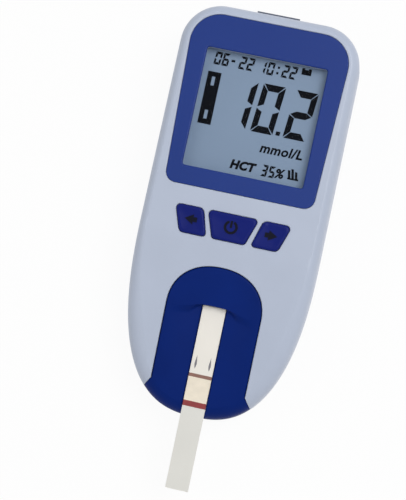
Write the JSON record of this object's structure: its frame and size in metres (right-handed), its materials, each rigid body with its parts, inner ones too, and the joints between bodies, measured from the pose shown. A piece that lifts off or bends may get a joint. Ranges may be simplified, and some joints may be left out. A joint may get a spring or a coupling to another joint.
{
  "type": "hemoglobin meter",
  "caption": "Handheld meter with a display window, slanted keys and a slide-out tray that guides a test strip under a reading hood.",
  "frame": {"origin": "middle of the flat back, on the surface that the meter lies on", "axes": "+Z out of the face, +Y towards the display end, +X to the right as the display is read"},
  "size_m": [0.0572, 0.1504, 0.025],
  "materials": {
    "shell": "fine satin moulded plastic, pale grey-blue",
    "window": "clear polished acrylic",
    "border": "printed ink seen through the window",
    "lcd_glass": "polished glass with a polariser",
    "segments": "dark liquid crystal segments",
    "reflector": "pearly reflector",
    "light_plastic": "moulded off-white plastic",
    "zebra": "layered conductive rubber",
    "keypad": "silicone rubber",
    "keys": "satin navy plastic",
    "carbon": "carbon-filled rubber",
    "board": "green solder mask",
    "gold": "gold plate",
    "black_plastic": "moulded black plastic",
    "can": "drawn metal can",
    "steel": "nickel-plated steel",
    "soft_grey": "matt dark grey rubber",
    "clear_plastic": "clear moulded plastic",
    "dark_clear": "dark filter plastic",
    "holder": "satin navy plastic",
    "strip": "white polyester card",
    "film": "printed film",
    "pad": "porous membrane",
    "cell": "cell with a printed sleeve"
  },
  "bodies": {
    "housing": {"front_shell": "shell", "rear_shell": "shell", "display_window": "window", "window_border": "border", "lcd_glass": "lcd_glass", "lcd_segments": "segments", "lcd_reflector": "reflector", "lcd_frame": "light_plastic", "zebra_strip": "zebra", "keypad_mat": "keypad", "dome_left": "keypad", "dome_menu": "keypad", "dome_right": "keypad", "main_board": "board", "contact_pads": "gold", "processor_chip": "black_plastic", "memory_chip": "black_plastic", "crystal": "can", "capacitors": "can", "buzzer": "black_plastic", "data_socket": "steel", "socket_contacts": "black_plastic", "board_header": "black_plastic", "header_pins": "gold", "sensor_board": "board", "optical_block": "black_plastic", "optical_window": "clear_plastic", "read_lamps": "clear_plastic", "photodiode": "dark_clear", "batteries": "cell", "battery_contacts": "steel", "battery_springs": "steel", "case_screws": "steel", "board_screws": "steel"},
    "left_key": {"key_left": "keys", "pill_left": "carbon"},
    "menu_key": {"key_menu": "keys", "pill_menu": "carbon"},
    "right_key": {"key_right": "keys", "pill_right": "carbon"},
    "tray": {"strip_holder": "holder"},
    "test_strip": {"strip_base": "strip", "strip_film": "film", "reagent_pad": "pad"},
    "battery_door": {"battery_cover": "shell"},
    "port_flap": {"port_cover": "soft_grey"}
  },
  "joints": [
    {"name": "left_key_press", "type": "slide", "parent": "housing", "child": "left_key", "axis": [0, 0, -1], "range_m": [0, 0.00085], "stiffness_N_per_m": 1500, "deforming": ["dome_left"]},
    {"name": "menu_key_press", "type": "slide", "parent": "housing", "child": "menu_key", "axis": [0, 0, -1], "range_m": [0, 0.00085], "stiffness_N_per_m": 1500, "deforming": ["dome_menu"]},
    {"name": "right_key_press", "type": "slide", "parent": "housing", "child": "right_key", "axis": [0, 0, -1], "range_m": [0, 0.00085], "stiffness_N_per_m": 1500, "deforming": ["dome_right"]},
    {"name": "tray_slide", "type": "slide", "parent": "housing", "child": "tray", "axis": [0, -0.9969, -0.0785], "range_m": [0, 0.04]},
    {"name": "strip_slide", "type": "slide", "parent": "tray", "child": "test_strip", "axis": [0, -0.9969, -0.0785], "range_m": [0, 0.055]},
    {"name": "battery_door_swing", "type": "hinge", "parent": "housing", "child": "battery_door", "pos_m": [0, -0.00395, 0], "axis": [-1, 0, 0], "range_deg": [0, 75]},
    {"name": "port_flap_swing", "type": "hinge", "parent": "housing", "child": "port_flap", "pos_m": [0, 0.06342, 0.01143], "axis": [-1, 0, 0], "range_deg": [0, 100]}
  ]
}
